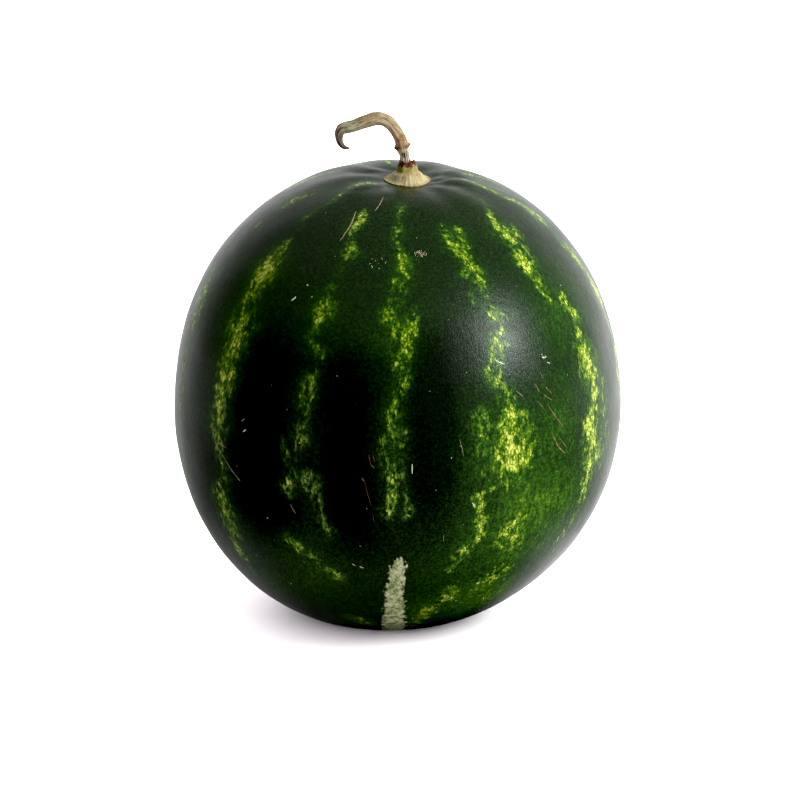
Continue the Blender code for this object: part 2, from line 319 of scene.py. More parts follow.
def pattern(longitude, down):
    """Attributes of the rind at each vertex: pale, cream, lighter green and painted shade that
    darkens the ground almost to black.
    """
    dice = random.Random(SEED)
    streaks = STREAKS + [grown_streak(at, dice) for at in BACK_LONGITUDES]
    pale = np.zeros(len(down))
    green = np.zeros(len(down))
    for knots in streaks:
        pale = np.maximum(pale, streak_mask(knots, longitude, down))
        halo = streak_mask(knots, longitude, down, widen=HALO_WIDTH)
        green = np.maximum(green, HALO_STRENGTH * halo)
    cream = streak_mask(CREAM_STREAK, longitude, down)
    for area in GREEN_AREAS:
        green = np.maximum(green, area_mask(area, longitude, down))
    painted_shade = np.zeros(len(down))
    for knots in PAINTED_SHADE_BANDS:
        painted_shade = np.maximum(painted_shade, streak_mask(knots, longitude, down))
    return {"pale": pale, "cream": cream, "green": green, "painted_shade": painted_shade}


# ---------------------------------------------------------------- node helpers


NOISE_LOW = 0.3  # nearly all of a noise texture lies between these
NOISE_HIGH = 0.7


class Graph:
    """Short ways to add and join the shader nodes of a material or world."""

    def __init__(self, owner):
        self.owner = owner
        owner.use_nodes = True
        self.nodes = owner.node_tree.nodes
        self.links = owner.node_tree.links

    def add(self, kind, inputs=None, **settings):
        node = self.nodes.new(kind)
        for name, value in settings.items():
            setattr(node, name, value)
        for key, value in (inputs or {}).items():
            self.put(node.inputs[key], value)
        return node

    def put(self, socket, value):
        if isinstance(value, bpy.types.NodeSocket):
            self.links.new(value, socket)
        else:
            socket.default_value = value

    def attribute(self, name):
        return self.add("ShaderNodeAttribute", attribute_name=name).outputs["Fac"]

    def math(self, operation, first, second=0.0, clamp=False):
        node = self.add("ShaderNodeMath", {0: first, 1: second}, operation=operation)
        node.use_clamp = clamp
        return node.outputs[0]

    def remap(self, value, low, high, to_low=0.0, to_high=1.0):
        inputs = {0: value, 1: low, 2: high, 3: to_low, 4: to_high}
        return self.add("ShaderNodeMapRange", inputs).outputs[0]

    def spread(self, value, low, high):
        """Noise as a value from low to high."""
        return self.remap(value, NOISE_LOW, NOISE_HIGH, low, high)

    def mix(self, factor, first, second, blend="MIX"):
        node = self.add("ShaderNodeMix", data_type="RGBA", blend_type=blend)
        self.put(node.inputs["Factor"], factor)
        self.put(node.inputs["A"], first)
        self.put(node.inputs["B"], second)
        return node.outputs["Result"]

    def ramp(self, value, stops):
        node = self.add("ShaderNodeValToRGB", {0: value})
        elements = node.color_ramp.elements
        while len(elements) < len(stops):
            elements.new(1.0)
        for element, (at, *shade) in zip(elements, stops):
            element.position = at
            element.color = colour(*shade)
        return node.outputs[0]

    def grey_ramp(self, value, stops):
        return self.ramp(value, [(at, tone, tone, tone) for at, tone in stops])

    def dim(self, skin, factor):
        """A colour made darker or lighter by a factor."""
        shade = self.add("ShaderNodeCombineColor", {0: factor, 1: factor, 2: factor}).outputs[0]
        return self.mix(1.0, skin, shade, "MULTIPLY")

    def noise(self, coordinates, scale, detail=2.0, roughness=0.5, output="Fac"):
        inputs = {"Vector": coordinates, "Scale": scale, "Detail": detail, "Roughness": roughness}
        return self.add("ShaderNodeTexNoise", inputs).outputs[output]

    def object_place(self):
        return self.add("ShaderNodeTexCoord").outputs["Object"]

    def vector_math(self, operation, first, second):
        inputs = {0: first, 1: second}
        return self.add("ShaderNodeVectorMath", inputs, operation=operation).outputs[0]

    def voronoi(self, coordinates, scale, feature="F1"):
        inputs = {"Vector": coordinates, "Scale": scale}
        return self.add("ShaderNodeTexVoronoi", inputs, feature=feature)

    def bump(self, height, distance, strength=1.0, normal=None):
        inputs = {"Height": height, "Distance": distance, "Strength": strength}
        if normal:
            inputs["Normal"] = normal
        return self.add("ShaderNodeBump", inputs).outputs[0]

    def finish(self, **inputs):
        """Set the shader's own inputs, and give the material."""
        shader = self.nodes["Principled BSDF"]
        for name, value in inputs.items():
            self.put(shader.inputs[name.replace("_", " ")], value)
        return self.owner


def colour(red, green, blue):
    return (red, green, blue, 1.0)


def material_graph(name):
    return Graph(bpy.data.materials.new(name))


CELL_SCALE = 560.0  # cells to a metre
CELL_STRETCH = 0.55  # cells are longer down the fruit than across
CELL_WANDER = 0.0011  # how far the borders of the cells stray


def rind_material():
    g = material_graph("rind")
    place = g.object_place()
    stretch = {"Vector": place, "Scale": (1.0, 1.0, CELL_STRETCH)}
    even = g.add("ShaderNodeMapping", stretch).outputs[0]
    # cells of the skin, with wandering borders
    wander = g.noise(even, 420.0, 1.0, output="Color")
    shift = g.vector_math("MULTIPLY", wander, (CELL_WANDER, CELL_WANDER, CELL_WANDER))
    cells = g.vector_math("ADD", even, shift)
    cell = g.voronoi(cells, CELL_SCALE)
    border = g.voronoi(cells, CELL_SCALE, "DISTANCE_TO_EDGE").outputs["Distance"]
    chances = g.add("ShaderNodeSeparateColor", {0: cell.outputs["Color"]}).outputs
    net = g.remap(border, 0.02, 0.16)
    clump = g.noise(even, 130.0, 2.0, 0.6)
    blotch = g.noise(even, 330.0, 3.0, 0.6)
    drift = g.noise(even, 45.0, 2.0)
    grain = g.noise(place, 620.0, 2.0, 0.65)
    speck = g.noise(place, 900.0, 2.0, 0.6)

    # how light the skin is: a streak's strength, broken up by clumps, blotches and single cells
    streak = g.attribute("pale")
    broken = g.math("ADD", g.spread(clump, -0.22, 0.2), g.spread(blotch, -0.4, 0.4))
    broken = g.math("ADD", broken, g.remap(chances[0], 0.0, 1.0, -0.24, 0.24))
    broken = g.math("MULTIPLY", broken, g.remap(streak, 0.02, 0.35))
    level = g.math("ADD", g.math("MULTIPLY", streak, 0.85), broken)
    level = g.math("MULTIPLY", level, g.remap(net, 0.0, 1.0, 0.5, 1.0))
    # the lighter areas and the halos of the streaks
    area = g.math("MULTIPLY", g.attribute("green"), g.spread(drift, 0.7, 1.2))
    area = g.math("MULTIPLY", area, g.spread(blotch, 0.5, 1.3))
    area = g.math("MULTIPLY", area, g.remap(chances[2], 0.0, 1.0, 0.75, 1.15))
    level = g.math("MAXIMUM", level, g.math("MULTIPLY", area, 0.42))
    level = g.math("ADD", level, g.spread(grain, -0.09, 0.15))
    skin = g.ramp(level, [
        (0.0, 0.0075, 0.017, 0.005), (0.16, 0.0125, 0.042, 0.004), (0.34, 0.031, 0.102, 0.005),
        (0.5, 0.096, 0.19, 0.006), (0.72, 0.27, 0.36, 0.01), (0.98, 0.58, 0.64, 0.12)])
    skin = g.dim(skin, g.spread(speck, 0.7, 1.34))
    # painted shade: the ground is darkened towards black in the bands of painted shade, less where
    # the skin is pale
    painted_shade = g.math("SUBTRACT", g.attribute("painted_shade"), level)
    skin = g.dim(skin, g.remap(painted_shade, 0.0, 0.8, 1.0, 0.3))
    # the cream streak: crisp, ragged edges
    cream = g.math("ADD", g.attribute("cream"), g.spread(blotch, -0.16, 0.16))
    cream = g.math("ADD", cream, g.remap(chances[1], 0.0, 1.0, -0.1, 0.1))
    cream_lit = g.math("MULTIPLY", g.remap(cream, 0.45, 0.6), g.remap(net, 0.0, 1.0, 0.75, 1.0))
    pith = g.mix(g.remap(blotch, 0.38, 0.62), colour(0.16, 0.23, 0.04), colour(0.7, 0.72, 0.42))
    skin = g.mix(cream_lit, skin, pith)

    bumps = g.bump(net, 0.00005, 0.5)
    bumps = g.bump(g.noise(place, 300.0, 3.0, 0.6), 0.00022, 0.6, bumps)
    return g.finish(Base_Color=skin, Roughness=g.spread(clump, 0.30, 0.36), Normal=bumps,
                    IOR=1.45, Specular_IOR_Level=0.5)


# ---------------------------------------------------------------- the fruit's mesh


def scene_object(name, data):
    obj = bpy.data.objects.new(name, data)
    bpy.context.scene.collection.objects.link(obj)
    return obj


def finished_mesh(bm, name):
    mesh = bpy.data.meshes.new(name)
    bm.to_mesh(mesh)
    bm.free()
    return mesh


def set_attribute(mesh, name, values):
    attribute = mesh.attributes.new(name, "FLOAT", "POINT")
    attribute.data.foreach_set("value", np.asarray(values, np.float32))


UV_PAD = 0.004  # free border of each island of the skin's UV map


def in_island(place, number, count):
    """UV of a place from -1 to 1 on a side of the cube, in one of a row of islands."""
    return (number + UV_PAD + (1 - 2 * UV_PAD) * (place + 1) / 2) / count


def lay_out_uvs(mesh, cube):
    """Six islands, one for each side of the cube that the skin is drawn from."""
    loops = np.zeros(len(mesh.loops), np.int32)
    mesh.loops.foreach_get("vertex_index", loops)
    corners = cube[loops].reshape(-1, 4, 3)
    centre = corners.mean(1)
    axis = np.abs(centre).argmax(1)
    side = axis * 2 + (centre[np.arange(len(axis)), axis] > 0)
    uv = np.zeros((len(corners), 4, 2))
    for number in range(6):
        chosen = side == number
        across, along = [(1, 2), (0, 2), (0, 1)][number // 2]
        uv[chosen, :, 0] = in_island(corners[chosen][:, :, across], number % 3, 3)
        uv[chosen, :, 1] = in_island(corners[chosen][:, :, along], number // 3, 2)
    layer = mesh.uv_layers.new(name="OFBake")
    layer.data.foreach_set("uv", uv.reshape(-1).astype(np.float32))


def make_fruit():
    """A finely divided cube, blown up to the fruit's form."""
    bm = bmesh.new()
    bmesh.ops.create_cube(bm, size=2.0)
    bmesh.ops.subdivide_edges(bm, edges=bm.edges, cuts=SKIN_CUTS - 1, use_grid_fill=True)
    mesh = finished_mesh(bm, "rind_skin")
    cube = np.zeros(len(mesh.vertices) * 3)
    mesh.vertices.foreach_get("co", cube)
    cube = cube.reshape(-1, 3)
    lay_out_uvs(mesh, cube)
    ball = np.tan(cube * math.pi / 4)
    ball /= np.linalg.norm(ball, axis=1, keepdims=True)
    longitude = np.degrees(np.arctan2(ball[:, 0], -ball[:, 1]))
    down = np.degrees(np.arccos(np.clip(ball[:, 2], -1, 1)))
    points = waved_skin(longitude, down)
    mesh.vertices.foreach_set("co", points.reshape(-1))
    for name, values in pattern(longitude, down).items():
        set_attribute(mesh, name, values)
    mesh.shade_smooth()
    mesh.update()
    mesh.materials.append(rind_material())
    return scene_object("rind_skin", mesh)


# ---------------------------------------------------------------- swept shapes


THIN_AROUND = 8  # points round a fibre or a mark
CAP_SHARE = 0.03  # share of a tube's UV strip that each of its end caps takes


class Sweep:
    """Collects closed tubes made of rings of points, with a UV strip for each tube."""

    def __init__(self):
        self.points = []
        self.faces = []
        self.uvs = []
        self.values = {}

    def add_rings(self, rings, strip, **values):
        """Join the rings into a closed tube. Strip is the tube's box in the UV map."""
        count, around = rings.shape[:2]
        start = len(self.points)
        left, low, right, high = strip
        cap = CAP_SHARE * (high - low)
        self.points += [tuple(point) for point in rings.reshape(-1, 3)]
        self.points += [tuple(rings[0].mean(0)), tuple(rings[-1].mean(0))]
        for name, value in values.items():
            value = np.broadcast_to(value, (count, around))
            kept = self.values.setdefault(name, [])
            kept += [0.0] * (start - len(kept))
            kept += [*value.reshape(-1), value[0].mean(), value[-1].mean()]

        def place(ring, step, cap_side=0):
            u = left + (right - left) * step / around
            v = low + cap + (high - low - 2 * cap) * ring / (count - 1) + cap * cap_side
            return u, v

        for i in range(count - 1):
            for j in range(around):
                turn = (j + 1) % around
                base, over = start + i * around, start + (i + 1) * around
                self.faces.append((base + j, base + turn, over + turn, over + j))
                self.uvs += [place(i, j), place(i, j + 1), place(i + 1, j + 1), place(i + 1, j)]
        for ring, centre, side in ((0, -2, -1), (count - 1, -1, 1)):
            base = start + ring * around
            for j in range(around):
                turn = (j + 1) % around
                self.faces.append((base + j, base + turn, len(self.points) + centre))
                self.uvs += [place(ring, j), place(ring, j + 1), place(ring, j + 0.5, side)]

    def build(self, name, material):
        mesh = bpy.data.meshes.new(name)
        mesh.from_pydata(self.points, [], self.faces)
        layer = mesh.uv_layers.new(name="OFBake")
        layer.data.foreach_set("uv", np.array(self.uvs, np.float32).reshape(-1))
        bm = bmesh.new()
        bm.from_mesh(mesh)
        bmesh.ops.recalc_face_normals(bm, faces=bm.faces)
        bm.to_mesh(mesh)
        bm.free()
        for key, kept in self.values.items():
            kept += [0.0] * (len(self.points) - len(kept))
            set_attribute(mesh, key, kept)
        mesh.shade_smooth()
        mesh.materials.append(material)
        return scene_object(name, mesh)


def smooth_route(knots, steps):
    """A rounded path through the knots, with this many steps between each pair."""
    knots = np.array(knots, float)
    before = np.vstack([2 * knots[0] - knots[1], knots[:-1]])
    after = np.vstack([knots[1:], 2 * knots[-1] - knots[-2]])
    slope = (after - before) / 2
    path = []
    for i in range(len(knots) - 1):
        for t in np.arange(steps) / steps:
            path.append((2 * t**3 - 3 * t**2 + 1) * knots[i] + (t**3 - 2 * t**2 + t) * slope[i]
                        + (3 * t**2 - 2 * t**3) * knots[i + 1] + (t**3 - t**2) * slope[i + 1])
    return np.array(path + [knots[-1]])


def rings_along(path, side, angles):
    """Unit vectors across the path: one row of directions for each of its points."""
    ahead = np.gradient(path, axis=0)
    ahead /= np.linalg.norm(ahead, axis=1, keepdims=True)
    across = np.cross(ahead, side)
    across /= np.linalg.norm(across, axis=1, keepdims=True)
    beside = np.cross(across, ahead)
    return (np.cos(angles)[None, :, None] * across[:, None]
            + np.sin(angles)[None, :, None] * beside[:, None])


def noise_at(points, scale, seed=0.0):
    """Smooth noise from -1 to 1 at points."""
    flat = points.reshape(-1, 3) * scale + seed
    values = np.array([noise.noise(Vector(point)) for point in flat])
    return values.reshape(points.shape[:-1])


# ---------------------------------------------------------------- the stalk's mesh

RIM_HEIGHT = float(crown_height(STALK_X, STALK_Y)) + RIM_LIFT * DIMPLE_DEPTH
AXIS = np.array([STALK_X, STALK_Y, 0.0])
FOOT_RADIUS = 0.0126
FOOT_EDGE = 0.0006  # how high the foot's edge stands over the skin
FOOT_AROUND = 180
IN_MOUTH = 9.5  # height given to the points inside the mouth
# The foot from its edge up to the lip, and down into the torn mouth: distance from the axis and
# height above the rim, in mm.
FOOT_RISE = [(12.3, 0.1), (11.6, 0.3), (10.8, 0.55), (9.8, 0.9), (8.6, 1.35), (7.4, 1.9),
             (6.5, 2.5), (6.0, 3.2), (5.8, 4.1), (5.5, 5.2), (5.0, 6.3), (4.5, 7.2), (4.2, 7.9),
             (4.0, 8.3)]
FOOT_MOUTH = [(3.6, 7.9), (3.2, 7.0), (2.9, 6.2), (1.5, 5.9)]
FOOT_SINK = 0.0006  # how deep its underside lies in the skin
RIDGES = 31  # on the foot's upper side
RIDGE_HEIGHT = 0.00014
RIB_HEIGHT = 0.00016  # of the ribs up the stub
FOOT_GRAIN = 0.00012
LIP_TEETH = 0.0011  # how unevenly the lip is torn
TALL_TOOTH_ANGLE = 5.9  # round the axis, in radians from +X
# The stalk's route: offset from the axis in X and Y, height above the rim, radius, all in mm.
STALK_ROUTE = [
    (-1.1, 0.0, 5.8, 2.7), (-1.4, 0.0, 10.9, 2.5), (-2.4, 0.1, 16.1, 3.5), (-3.7, 0.3, 20.7, 3.4),
    (-6.3, 0.7, 25.5, 3.3), (-10.4, 1.2, 29.8, 3.5), (-15.6, 1.5, 31.9, 3.8),
    (-22.4, 1.4, 30.4, 3.65), (-29.1, 1.0, 28.1, 3.4), (-34.6, 0.4, 26.9, 3.35),
    (-37.1, -0.2, 24.9, 2.8), (-37.5, -0.8, 21.1, 2.0), (-36.4, -1.3, 18.2, 1.6),
    (-34.2, -1.6, 16.3, 1.1), (-31.6, -1.8, 15.9, 0.45),
]
STALK_STEPS = 14
STALK_AROUND = 56
SLIT_ANGLE = 4.9  # round the stalk, on its front side
NODE_HEIGHT = 16.6  # mm above the rim
# Fibres beside the neck: angle round the axis in degrees, lean, thickness in mm.
FIBRES = [(-150, 6, 0.62), (-128, -4, 0.45), (-108, 5, 0.35), (-72, -6, 0.4), (-48, 5, 0.55),
          (-22, -5, 0.6), (20, 4, 0.5), (160, -5, 0.5)]


def skin_ring(radius, angles):
    """Points of the upper skin in a ring round the stalk's axis."""
    x = STALK_X + radius * np.cos(angles)
    y = STALK_Y + radius * np.sin(angles)
    return np.stack([x, y, crown_height(x, y)], axis=-1)


def foot_rings(angles):
    """The foot's rings from its underside to the bottom of its mouth, with each point's height
    over the rim in mm: below 0 under the skin, and above the lip inside the mouth."""
    ridge = 0.5 * np.sin(RIDGES * angles + 2.2 * np.sin(3 * angles))
    ridge += 0.5 * np.sin(17 * angles + 1.5 * np.sin(5 * angles + 1))
    teeth = 0.5 * np.sin(5 * angles + 0.6) + 0.35 * np.sin(11 * angles + 2.0)
    teeth += 0.3 * np.sin(23 * angles)
    teeth += 1.5 * np.exp(-(((angles - TALL_TOOTH_ANGLE) / 0.3) ** 2))
    ribs = np.sin(9 * angles + 0.8 * np.sin(2 * angles))
    edge = FOOT_RADIUS * (1 + 0.025 * np.sin(4 * angles + 0.5) + 0.012 * ridge)
    rings = []
    heights = []

    def add_ring(radius, rise, height, level=None):
        """Rise is counted from the skin, or from a level where there is one."""
        ring = skin_ring(radius, angles)
        ring[:, 2] = (ring[:, 2] if level is None else level) + rise
        rings.append(ring)
        heights.append(np.broadcast_to(height, angles.shape))

    for share in (0.1, 0.6, 0.93):
        add_ring(edge * share, -FOOT_SINK, -1.0)
    add_ring(edge, -0.0001, -0.6)
    add_ring(edge * 1.006, 0.5 * FOOT_EDGE, -0.3, skin_ring(edge, angles)[:, 2])
    # the upper side follows the skin at its edge and stands level near the stub
    for radius, height in smooth_route(FOOT_RISE, 3):
        spread = smooth_step(radius, 7.5, 12.3)
        wide = 0.001 * radius * (spread * edge / FOOT_RADIUS + 1 - spread)
        level = RIM_HEIGHT + 0.001 * height
        level = level * (1 - spread) + (skin_ring(wide, angles)[:, 2] + FOOT_EDGE) * spread
        disc = smooth_step(radius, 6.2, 7.8) * (1 - 0.7 * smooth_step(radius, 11.4, 12.3))
        stub = smooth_step(height, 2.8, 4.0)
        torn = smooth_step(height, 6.4, 8.2) * teeth
        rise = RIDGE_HEIGHT * ridge * disc + LIP_TEETH * torn
        add_ring(wide + RIB_HEIGHT * ribs * stub, rise, height + 0.7 * torn, level)
    for radius, height in smooth_route([FOOT_RISE[-1], *FOOT_MOUTH], 2)[1:]:
        torn = smooth_step(height, 5.9, 8.0) * teeth
        add_ring(0.001 * radius, 0.001 * height + LIP_TEETH * torn, IN_MOUTH, RIM_HEIGHT)
    return np.array(rings), np.array(heights)


def add_foot(sweep):
    angles = np.arange(FOOT_AROUND) * 2 * math.pi / FOOT_AROUND
    rings, heights = foot_rings(angles)
    rings = rings + FOOT_GRAIN * noise_at(rings, 900)[..., None]
    left = 0.5 - 0.5 * np.cos(angles)
    mouth = smooth_step(heights + 1.8 * noise_at(rings, 700, 5.0), 5.6, 6.9)
    streak = np.exp(-(((angles - 5.1) / 0.13) ** 2)) * smooth_step(heights, 4.0, 5.5)
    olive = smooth_step(heights, 2.2, 3.6) * (0.55 + 0.45 * left) * (1 - mouth)
    along = np.hypot(rings[..., 0] - STALK_X, rings[..., 1] - STALK_Y)
    sweep.add_rings(rings, (0.01, 0.01, 0.99, 0.46), mouth=np.maximum(mouth, 0.6 * streak),
                    olive=olive, disc=1 - smooth_step(heights, 2.0, 3.4),
                    around=angles, along=along)


def bell(value, middle, width):
    """1 in the middle, falling smoothly to 0 on both sides."""
    return np.exp(-(((value - middle) / width) ** 2))


def add_stalk(sweep):
    angles = np.arange(STALK_AROUND) * 2 * math.pi / STALK_AROUND
    path = smooth_route(STALK_ROUTE, STALK_STEPS)
    middle = 0.001 * path[:, :3] + AXIS + np.array([0, 0, RIM_HEIGHT])
    walked = np.cumsum(np.r_[0, np.linalg.norm(np.diff(path[:, :3], axis=0), axis=1)])
    ways = rings_along(middle, np.array([0.0, 1.0, 0.0]), angles)
    spokes = ways * 0.001 * path[:, 3][:, None, None]
    base = middle[:, None] + spokes
    lumps = noise_at(base, 260, 2.0)
    fine = noise_at(base, 900, 7.0)

    # where each part of the stalk lies
    share = (walked / walked[-1])[:, None]
    height = path[:, 2][:, None]
    low = share < 0.5
    neck = bell(height, 12.3, 2.6) * low
    node = bell(height, NODE_HEIGHT, 1.0) * low
    bend = smooth_step(share, 0.45, 0.75)
    hook = smooth_step(share, 0.74, 0.86)
    side, up = ways[..., 0], ways[..., 2]
    nubs = bell(side, -0.85, 0.35) + 0.8 * bell(side, 0.85, 0.35)

    furrows = 0.05 * np.sin(5 * angles + 3 * share) + 0.035 * np.sin(8 * angles - 4 * share + 1)
    swell = 1 + furrows * (1 + 0.8 * hook) + 0.09 * lumps + 0.035 * fine * (1 + neck)
    swell = swell - 0.12 * neck * np.sin(7 * angles) ** 2
    swell = swell + node * (0.1 + 0.35 * nubs * (0.7 + 0.6 * fine))

    splits = 0.7 * neck * smooth_step(-np.cos(angles * 2 + 0.4), 0.3, 0.9)
    torn = node * (0.2 + 0.9 * nubs) + splits + 0.4 * lumps * node
    crest = smooth_step(up, 0.3, 0.9) * smooth_step(share, 0.28, 0.4)
    crest = crest * (1 - smooth_step(share, 0.5, 0.62))
    rust = (bell(height, 19.5, 4.2) * low + 0.6 * crest) * (0.8 + 0.8 * lumps)
    slit = bell(angles, SLIT_ANGLE, 0.36) * bell(height, 12.0, 1.9) * low
    sweep.add_rings(middle[:, None] + spokes * swell[..., None], (0.01, 0.48, 0.99, 0.88),
                    mouth=np.clip(torn, 0, 1), rust=np.clip(rust, 0, 1), neck=neck,
                    green=np.clip(bend + 0.3 * lumps, 0, 1) * (1 - hook), slit=slit,
                    hook=hook, around=angles, along=0.001 * walked[:, None])


def add_fibres(sweep):
    """Loose strands from the torn lip up to the node."""
    around = np.arange(THIN_AROUND) * 2 * math.pi / THIN_AROUND
    for number, (at, lean, thick) in enumerate(FIBRES):
        turn, swing = math.radians(at), math.radians(lean)
        route = []
        for height, out in ((6.3, 3.2), (8.6, 3.1), (11.0, 2.55), (13.4, 2.75), (15.6, 3.1)):
            angle = turn + swing * (height - 11) / 4
            lean_left = 1.1 + 0.13 * max(height - 9, 0)
            route.append((out * math.cos(angle) - lean_left, out * math.sin(angle), height))
        path = smooth_route(route, 6)
        middle = 0.001 * path + AXIS + np.array([0, 0, RIM_HEIGHT])
        ways = rings_along(middle, np.array([0.3, 1.0, 0.1]), around)
        thin = 0.0005 * thick * (0.45 + 0.55 * np.sin(np.linspace(0.25, 2.6, len(path))))
        low = 0.895 + 0.012 * number
        sweep.add_rings(middle[:, None] + ways * thin[:, None, None],
                        (0.01, low, 0.99, low + 0.009), neck=1.0, along=0.01 * number)


def stalk_material():
    g = material_graph("stalk")
    around, along = g.attribute("around"), g.attribute("along")
    turn = g.add("ShaderNodeCombineXYZ", {
        0: g.math("COSINE", around), 1: g.math("SINE", around), 2: g.math("MULTIPLY", along, 40.0)})
    place = g.object_place()
    strand = g.noise(turn.outputs[0], 5.0, 3.0, 0.6)
    fleck = g.noise(place, 520.0, 3.0, 0.6)
    patch = g.noise(place, 150.0, 2.0)
    grain = g.noise(place, 1500.0, 2.0)

    # the dry stalk and the foot's pale disc with its browner rim
    straw = g.ramp(strand, [
        (0.32, 0.13, 0.1, 0.05), (0.43, 0.32, 0.26, 0.13), (0.54, 0.5, 0.43, 0.26),
        (0.7, 0.64, 0.57, 0.4)])
    disc = g.ramp(strand, [
        (0.3, 0.4, 0.33, 0.14), (0.5, 0.53, 0.47, 0.24), (0.7, 0.63, 0.58, 0.34)])
    disc = g.mix(g.remap(along, 0.0108, 0.0126, 0.0, 0.6), disc, colour(0.42, 0.27, 0.13))
    disc = g.mix(g.remap(fleck, 0.6, 0.72, 0.0, 0.7), disc, colour(0.36, 0.2, 0.09))
    skin = g.mix(g.attribute("disc"), straw, disc)
    skin = g.mix(g.remap(patch, 0.5, 0.6, 0.0, 0.5), skin, colour(0.36, 0.18, 0.1))
    # the other parts, each from its dark to its light tone: attribute, share, what breaks it up
    # and between which values, dark and light
    parts = [
        ("green", 0.85, strand, 0.4, 0.58, (0.11, 0.115, 0.035), (0.4, 0.39, 0.25)),
        ("neck", 0.85, fleck, 0.4, 0.6, (0.44, 0.39, 0.2), (0.9, 0.86, 0.7)),
        ("rust", 0.9, fleck, 0.35, 0.65, (0.18, 0.07, 0.02), (0.5, 0.26, 0.1)),
        ("olive", 1.0, patch, 0.35, 0.65, (0.17, 0.14, 0.006), (0.42, 0.36, 0.05)),
        ("hook", 1.0, strand, 0.42, 0.6, (0.02, 0.012, 0.008), (0.25, 0.19, 0.14)),
    ]
    for name, share, breaker, low, high, dark, light in parts:
        tone = g.mix(g.remap(breaker, low, high), colour(*dark), colour(*light))
        skin = g.mix(g.math("MULTIPLY", g.attribute(name), share), skin, tone)
    # the slit in the neck and the torn edges
    skin = g.mix(g.remap(g.attribute("slit"), 0.15, 0.6), skin, colour(0.05, 0.06, 0.008))
    torn = g.mix(g.remap(fleck, 0.4, 0.65), colour(0.045, 0.01, 0.005), colour(0.2, 0.06, 0.02))
    skin = g.mix(g.remap(g.attribute("mouth"), 0.2, 0.75), skin, torn)
    skin = g.dim(skin, g.spread(grain, 0.82, 1.15))

    bumps = g.bump(strand, 0.0002, 0.6)
    bumps = g.bump(fleck, 0.0002, 0.5, bumps)
    return g.finish(Base_Color=skin, Roughness=g.spread(strand, 0.72, 0.85), Normal=bumps,
                    IOR=1.45, Specular_IOR_Level=0.35)


def make_stalk():
    sweep = Sweep()
    add_foot(sweep)
    add_stalk(sweep)
    add_fibres(sweep)
    return sweep.build("stalk_body", stalk_material())


# ---------------------------------------------------------------- marks on the skin

# Scratches and scars: half width in mm, tone (0 brown to 1 white), then longitude, down points.
SCARS = [
    (0.34, 0.5, (-29.5, 24.5), (-28, 27), (-27, 29.5), (-27, 32.5), (-27.4, 35.5)),
    (0.28, 0.5, (-19, 17), (-18, 20), (-18.5, 23.5)),
    (0.45, 0.95, (-34.6, 54.6), (-33.6, 53.4)),
    (0.3, 0.4, (-55, 87), (-52.5, 91), (-50, 93)),
    (0.35, 0.35, (-53, 92), (-51.5, 90.5), (-48.5, 91)),
    (0.22, 0.5, (-50, 93), (-47, 96), (-44.5, 98)), (0.4, 0.3, (-45, 97.5), (-44, 98.5)),
    (0.35, 0.95, (-42.3, 86.8), (-41.3, 86.2)), (0.3, 0.6, (-43, 84.7), (-42, 84)),
    (0.12, 0.0, (-8.3, 94), (-7.6, 97), (-6.6, 100.5)), (0.16, 0.3, (-9, 93.4), (-8.3, 94.3)),
    (0.14, 0.15, (-7.2, 88.3), (-6.6, 90.2), (-5.6, 91)), (0.12, 0.1, (-6.2, 88.4), (-5.6, 89.8)),
    (0.12, 0.0, (-6.2, 103), (-5.8, 105)),
    (0.24, 0.3, (41.5, 81), (43.5, 83.5), (46.5, 86.5)), (0.2, 0.35, (40.5, 78.5), (43, 80)),
    (0.26, 0.35, (42.5, 87.5), (44.5, 90), (47, 92)), (0.2, 0.25, (45, 88.5), (48, 91)),
    (0.2, 0.3, (41, 76.5), (43, 78.5)), (0.2, 0.4, (31.5, 76), (34, 78)),
    (0.2, 0.25, (40, 73), (41, 75)),
    (0.22, 0.3, (37.5, 75), (39, 77.5)), (0.18, 0.3, (38, 79.5), (40.5, 82)),
    (0.3, 0.85, (41.5, 69.5), (43, 69.8)), (0.26, 0.85, (43, 71), (44, 71.4)),
    (0.3, 0.85, (3.6, 90), (3.6, 92.3)), (0.3, 0.8, (-12.3, 118.3), (-11.3, 118.8)),
    (0.3, 0.8, (-10.2, 119), (-9, 119.5)), (0.3, 0.85, (19.3, 100.5), (20.3, 102)),
    (0.15, 0.35, (15.6, 85.5), (16.6, 89)), (0.18, 0.35, (12.5, 109), (12.7, 111)),
    (0.2, 0.45, (-28.5, 102), (-27, 104.5)), (0.4, 0.85, (26.8, 68.2), (28, 69), (29.4, 69.6)),
]
# Round corky spots: longitude, down, radius in mm, tone, number of crumbs.
CORK_SPOTS = [
    (6.8, 37.5, 3.4, 0.5, 60), (20, 133.5, 2.6, 0.3, 14), (-50.5, 66.5, 1.6, 0.2, 6),
    (42, 69.5, 2.6, 0.9, 6), (-31, 50, 1.2, 0.8, 3), (-9, 41, 5.5, 0.45, 14),
]
LOOSE_SPECKS = 150
CRUMB_RADIUS = 0.00034
MARK_THICKNESS = 0.00014
STRIP_EDGE = 0.05  # free border of a mark's square in the UV map


